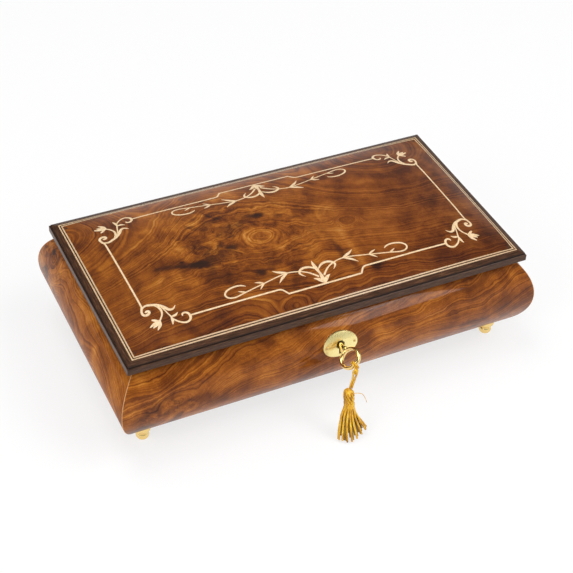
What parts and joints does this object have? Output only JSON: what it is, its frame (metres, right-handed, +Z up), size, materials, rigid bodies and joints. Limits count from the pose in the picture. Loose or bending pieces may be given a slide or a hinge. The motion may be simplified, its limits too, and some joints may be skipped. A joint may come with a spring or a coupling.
{
  "type": "cylinder music box",
  "caption": "Rectangular inlaid music box with swelled walls, domed hinged lid, lock with tasselled key, lined compartment and a spring-wound pinned-cylinder movement.",
  "frame": {"origin": "on the surface the feet stand on, midway between the key's bow at the front and the swell of the back wall, and midway between the ends", "axes": "+X along the case towards the movement's end, +Y from the keyhole to the hinges, +Z up"},
  "size_m": [0.2942, 0.2001, 0.086],
  "materials": {
    "burl_veneer": "figured burl veneer under clear semi-gloss lacquer",
    "dark_moulding": "dark close-grained hardwood, satin lacquer",
    "pale_stringing": "pale maple stringing, flush, lacquered",
    "plywood": "plain plywood, unfinished",
    "plain_wood": "stained hardwood",
    "clear_acrylic": "clear polished sheet",
    "velvet": "short-pile velvet over card",
    "polished_brass": "polished and lacquered",
    "lock_brass": "plain rolled brass",
    "movement_brass": "turned and brushed brass",
    "steel": "ground steel",
    "cast_bed": "cast bed in gilt paint",
    "tassel_thread": "golden rayon thread"
  },
  "bodies": {
    "case": {"front_wall": "burl_veneer", "back_wall": "burl_veneer", "left_wall": "burl_veneer", "right_wall": "burl_veneer", "bottom_panel": "plywood", "foot_front_left": "polished_brass", "foot_front_right": "polished_brass", "foot_back_left": "polished_brass", "foot_back_right": "polished_brass", "compartment_divider": "plain_wood", "cover_ledges": "plain_wood", "movement_cover": "clear_acrylic", "lining_floor": "velvet", "lining_walls": "velvet", "hinge_case_leaves": "polished_brass", "hinge_pins": "polished_brass", "hinge_case_screws": "polished_brass", "lock_body": "lock_brass", "lock_screws": "polished_brass", "escutcheon": "polished_brass", "escutcheon_pins": "polished_brass", "bedplate": "cast_bed", "bedplate_screws": "steel", "rear_bearing": "movement_brass", "governor_frame": "movement_brass", "governor_cock": "movement_brass", "movement_screws": "steel", "comb": "steel", "comb_base": "cast_bed", "comb_screws": "steel", "stop_guide": "movement_brass"},
    "lid": {"lid_panel": "burl_veneer", "lid_stringing": "pale_stringing", "lid_mouldings": "dark_moulding", "lid_lining": "velvet", "hinge_lid_leaves": "polished_brass", "hinge_lid_screws": "polished_brass", "strike_plate": "polished_brass", "strike_screws": "polished_brass"},
    "key": {"lock_key": "polished_brass", "tassel_knot": "tassel_thread"},
    "bolt": {"lock_bolt": "lock_brass"},
    "tassel": {"tassel_cord": "tassel_thread", "tassel_head": "tassel_thread", "tassel_skirt": "tassel_thread"},
    "winder": {"winding_arbor": "steel", "winding_key": "steel"},
    "cylinder": {"cylinder": "movement_brass", "cylinder_arbor": "steel", "cylinder_pinion": "movement_brass", "cylinder_wheel": "movement_brass"},
    "barrel": {"spring_barrel": "movement_brass", "barrel_cap": "movement_brass", "mainspring": "steel"},
    "governor_first": {"governor_first_arbor": "movement_brass"},
    "governor_second": {"governor_second_arbor": "movement_brass"},
    "fly": {"fly_arbor": "steel", "fly_fan": "movement_brass"},
    "stop": {"stop_rod": "steel"}
  },
  "joints": [
    {"name": "lid_hinge", "type": "hinge", "parent": "case", "child": "lid", "pos_m": [0, 0.08598, 0.06925], "axis": [-1, 0, 0], "range_deg": [0, 100]},
    {"name": "key_turn", "type": "hinge", "parent": "case", "child": "key", "pos_m": [0, -0.06876, 0.0503], "axis": [0, 1, 0], "range_deg": [-45, 135]},
    {"name": "bolt_slide", "type": "slide", "parent": "case", "child": "bolt", "axis": [1, 0, 0], "range_m": [-0.00125, 0.00375]},
    {"name": "tassel_swing", "type": "hinge", "parent": "case", "child": "tassel", "pos_m": [0, -0.08986, 0.0503], "axis": [-1, 0, 0], "range_deg": [0, 60]},
    {"name": "winder_turn", "type": "hinge", "parent": "case", "child": "winder", "pos_m": [0.0268, 0.01937, 0.0256], "axis": [0, 0, 1], "continuous": true},
    {"name": "cylinder_turn", "type": "hinge", "parent": "case", "child": "cylinder", "pos_m": [0.0702, 0.01937, 0.04424], "axis": [-1, 0, 0], "continuous": true},
    {"name": "barrel_turn", "type": "hinge", "parent": "case", "child": "barrel", "pos_m": [0.0268, 0.01937, 0.0386], "axis": [0, 0, 1], "continuous": true},
    {"name": "governor_first_turn", "type": "hinge", "parent": "case", "child": "governor_first", "pos_m": [0.0947, 0.03161, 0.03853], "axis": [-1, 0, 0], "continuous": true},
    {"name": "governor_second_turn", "type": "hinge", "parent": "case", "child": "governor_second", "pos_m": [0.0947, 0.02761, 0.04546], "axis": [-1, 0, 0], "continuous": true},
    {"name": "fly_turn", "type": "hinge", "parent": "case", "child": "fly", "pos_m": [0.1016, 0.03461, 0.04546], "axis": [0, 0, 1], "continuous": true},
    {"name": "stop_lift", "type": "slide", "parent": "case", "child": "stop", "axis": [0, 0, 1], "range_m": [0, 0.00401]}
  ],
  "couplings": [
    {"joint": "key_turn", "follows": "bolt_slide", "rad_per_m": 628.32},
    {"joint": "barrel_turn", "follows": "cylinder_turn", "ratio": -0.28571},
    {"joint": "governor_first_turn", "follows": "cylinder_turn", "ratio": -4.4},
    {"joint": "governor_second_turn", "follows": "cylinder_turn", "ratio": 13.2},
    {"joint": "fly_turn", "follows": "cylinder_turn", "ratio": 264},
    {"joint": "stop_lift", "follows": "lid_hinge", "m_per_rad": 0.0022918}
  ]
}
